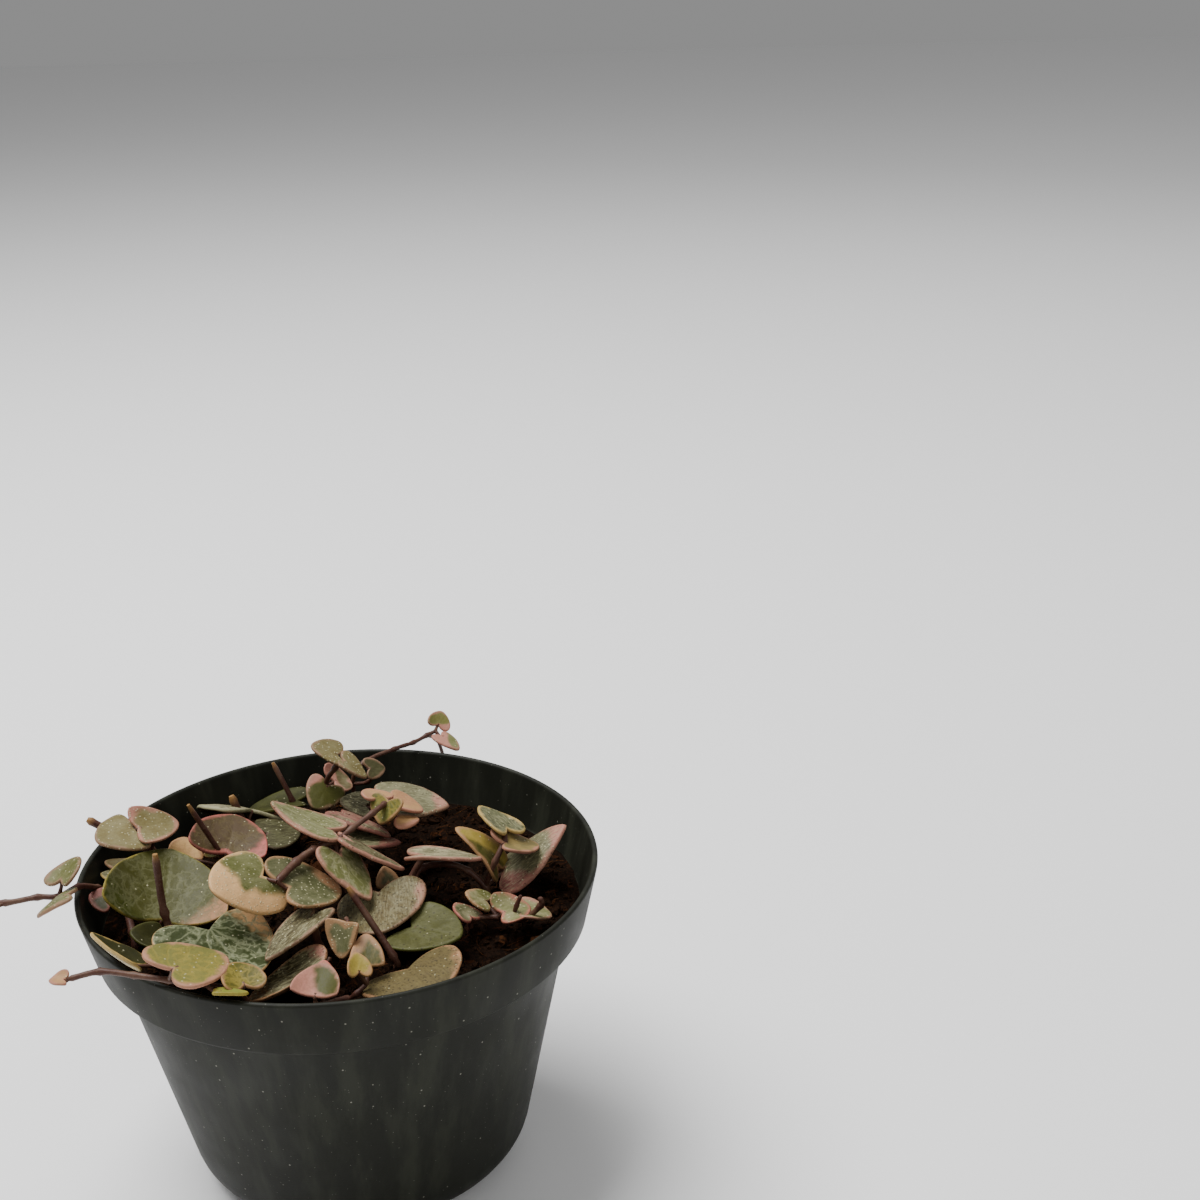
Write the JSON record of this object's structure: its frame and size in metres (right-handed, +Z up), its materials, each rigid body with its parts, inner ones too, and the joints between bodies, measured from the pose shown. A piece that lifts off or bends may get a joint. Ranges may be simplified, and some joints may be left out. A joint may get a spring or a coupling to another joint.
{
  "type": "potted string of hearts plant",
  "caption": "Round tapered nursery pot with a stepped rim, filled with dark soil and planted with heart-leaved trailing cuttings, two of them hanging over the rim.",
  "frame": {"origin": "centre of the pot's underside, on the surface that the pot stands on", "axes": "+Z up; +X to the right and +Y to the back as seen from the front of the picture"},
  "size_m": [0.1283, 0.1191, 0.0861],
  "materials": {
    "pot_plastic": "thin, dark green-black moulded plastic, satin, dusty",
    "soil_peat": "dark crumbly peat and bark with reddish fibres",
    "leaf_green": "fleshy green leaf with silver veins, satin",
    "leaf_tan": "fleshy olive-tan leaf with fine pimples or specks, satin",
    "leaf_dusky": "fleshy brown-mauve leaf with pale veins and a pink edge, satin",
    "leaf_cream": "fleshy variegated leaf, cream, olive and pink, satin"
  },
  "bodies": {
    "root": {"pot": "pot_plastic", "soil": "soil_peat", "cutting_left_pair": "leaf_tan", "cutting_large_leaf": "leaf_green", "cutting_dusky": "leaf_dusky", "cutting_back_left": "leaf_dusky", "cutting_centre": "leaf_cream", "cutting_centre_back": "leaf_cream", "cutting_back": "leaf_tan", "runner_back": "leaf_green", "cutting_front_left": "leaf_green", "runner_front": "leaf_green", "cutting_front_middle": "leaf_tan", "cutting_front": "leaf_cream", "cutting_speckled": "leaf_tan", "leaf_speckled_front": "leaf_tan", "cutting_right": "leaf_cream", "cutting_young": "leaf_cream"}
  },
  "joints": []
}
